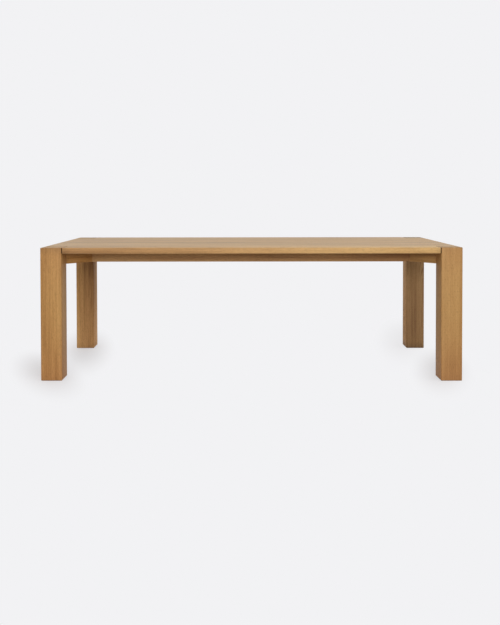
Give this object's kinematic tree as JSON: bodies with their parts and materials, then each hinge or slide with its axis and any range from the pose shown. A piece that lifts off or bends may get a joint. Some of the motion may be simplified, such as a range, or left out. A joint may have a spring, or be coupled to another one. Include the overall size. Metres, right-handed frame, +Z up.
{
  "type": "dining table",
  "caption": "Rectangular parsons dining table in solid wood: square posts flush with the corners of a board top that is notched round them, over an inset rail frame.",
  "frame": {"origin": "on the floor, under the middle of the tabletop", "axes": "+X along the table's length to the right as seen from the front, +Y across the depth to the rear, +Z up"},
  "size_m": [2.4, 1, 0.762],
  "materials": {
    "leg_wood": "matt oiled",
    "top_wood": "matt oiled",
    "frame_wood": "matt oiled",
    "dowel_wood": "raw",
    "zinc_steel": "zinc plated",
    "clip_steel": "zinc plated",
    "glide_nylon": "satin"
  },
  "bodies": {
    "root": {"barrel_nuts": "zinc_steel", "clip_screws": "zinc_steel", "corner_block_front_left": "frame_wood", "corner_block_front_right": "frame_wood", "corner_block_rear_left": "frame_wood", "corner_block_rear_right": "frame_wood", "corner_block_screws": "zinc_steel", "cross_rail_dowels": "dowel_wood", "cross_rail_left": "frame_wood", "cross_rail_middle": "frame_wood", "cross_rail_right": "frame_wood", "end_rail_left": "frame_wood", "end_rail_right": "frame_wood", "foot_glides": "glide_nylon", "glide_screws": "zinc_steel", "leg_front_left": "leg_wood", "leg_front_right": "leg_wood", "leg_rear_left": "leg_wood", "leg_rear_right": "leg_wood", "long_rail_front": "frame_wood", "long_rail_rear": "frame_wood", "rail_bolts": "zinc_steel", "rail_dowels": "dowel_wood", "top_board_2": "top_wood", "top_board_3": "top_wood", "top_board_4": "top_wood", "top_board_5": "top_wood", "top_board_6": "top_wood", "top_board_7": "top_wood", "top_board_front": "top_wood", "top_board_rear": "top_wood", "top_clips": "clip_steel"}
  },
  "joints": []
}
